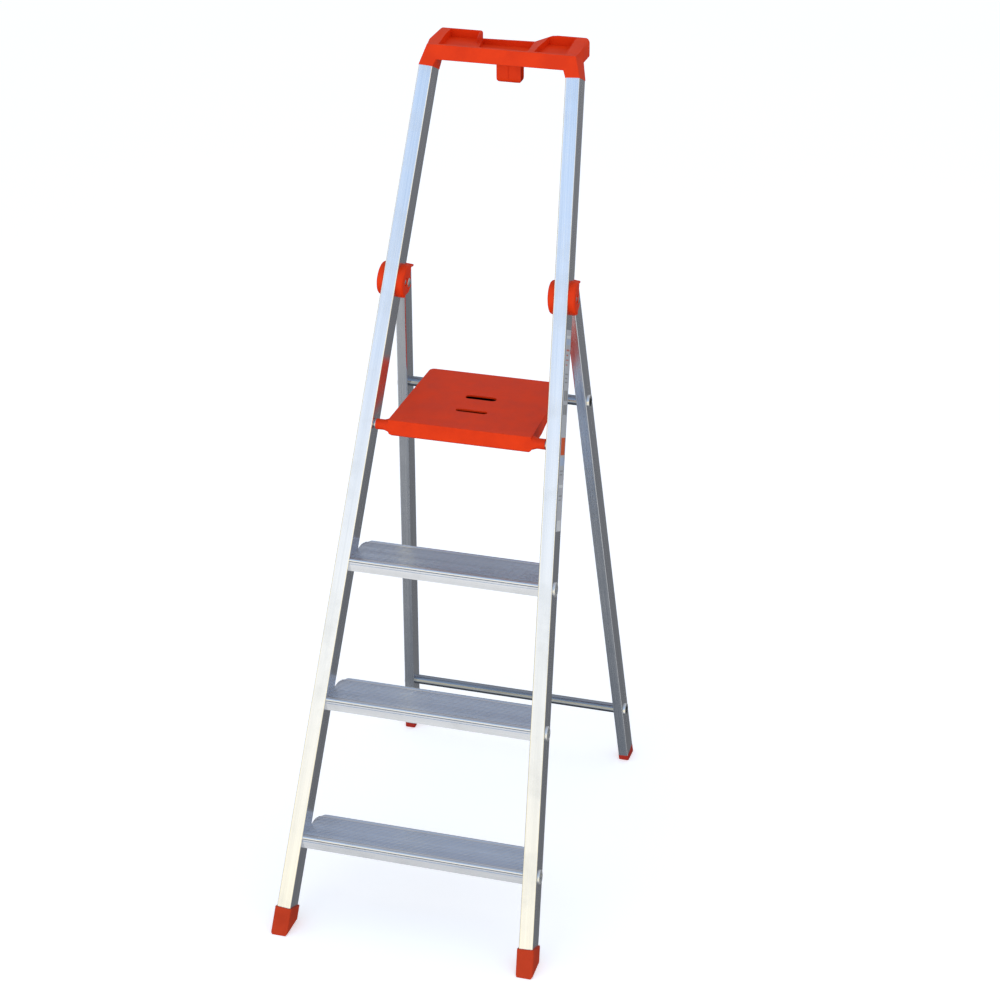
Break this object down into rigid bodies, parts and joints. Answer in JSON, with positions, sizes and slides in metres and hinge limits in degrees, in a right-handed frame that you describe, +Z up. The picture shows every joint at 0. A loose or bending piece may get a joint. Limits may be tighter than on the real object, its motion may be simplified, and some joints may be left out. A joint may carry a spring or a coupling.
{
  "type": "folding step stool",
  "caption": "Folding aluminium step stool with wide treads, a hinged platform, a tool tray with bucket hook above it and a rear frame that folds in",
  "frame": {"origin": "on the floor at the middle of the footprint", "axes": "+Z up, +X to the right of a person facing the treads, -Y the climbing side"},
  "size_m": [0.4864, 0.7786, 1.467],
  "materials": {
    "aluminium": "brushed mill finish",
    "aluminium_tread": "satin extruded",
    "aluminium_rim": "swaged, satin",
    "orange_plastic": "fine moulded grain",
    "shoe_plastic": "soft moulded",
    "steel": "zinc plated",
    "label": "printed film, blank blocks",
    "dark_plastic": "moulded"
  },
  "bodies": {
    "front_frame": {"stile_left": "aluminium", "stile_right": "aluminium", "tread_lower": "aluminium_tread", "tread_middle": "aluminium_tread", "tread_upper": "aluminium_tread", "ferrule_lower_left": "aluminium_rim", "ferrule_lower_right": "aluminium_rim", "ferrule_middle_left": "aluminium_rim", "ferrule_middle_right": "aluminium_rim", "ferrule_upper_left": "aluminium_rim", "ferrule_upper_right": "aluminium_rim", "shoe_left": "shoe_plastic", "shoe_right": "shoe_plastic", "crown_tray": "orange_plastic", "bucket_hook": "orange_plastic", "crown_rivet_left": "steel", "crown_rivet_right": "steel", "hinge_bracket_left": "orange_plastic", "hinge_bracket_right": "orange_plastic", "bracket_rivet_left": "steel", "bracket_rivet_right": "steel", "hinge_pin_left": "steel", "hinge_pin_right": "steel", "platform_pin_left": "steel", "platform_pin_right": "steel", "label_strip": "label"},
    "rear_frame": {"rear_leg_left": "aluminium", "rear_leg_right": "aluminium", "leg_insert_left": "dark_plastic", "leg_insert_right": "dark_plastic", "rung_upper": "aluminium", "rung_lower": "aluminium", "rear_foot_left": "shoe_plastic", "rear_foot_right": "shoe_plastic"},
    "platform_body": {"platform": "orange_plastic"}
  },
  "joints": [
    {"name": "rear_fold", "type": "hinge", "parent": "front_frame", "child": "rear_frame", "pos_m": [0, 0.164, 1.04981], "axis": [-1, 0, 0], "range_deg": [0, 34.7]},
    {"name": "platform_fold", "type": "hinge", "parent": "front_frame", "child": "platform_body", "pos_m": [0, 0.00602, 0.8415], "axis": [1, 0, 0], "range_deg": [0, 66]}
  ],
  "couplings": [
    {"joint": "platform_fold", "follows": "rear_fold", "ratio": 1.902}
  ]
}
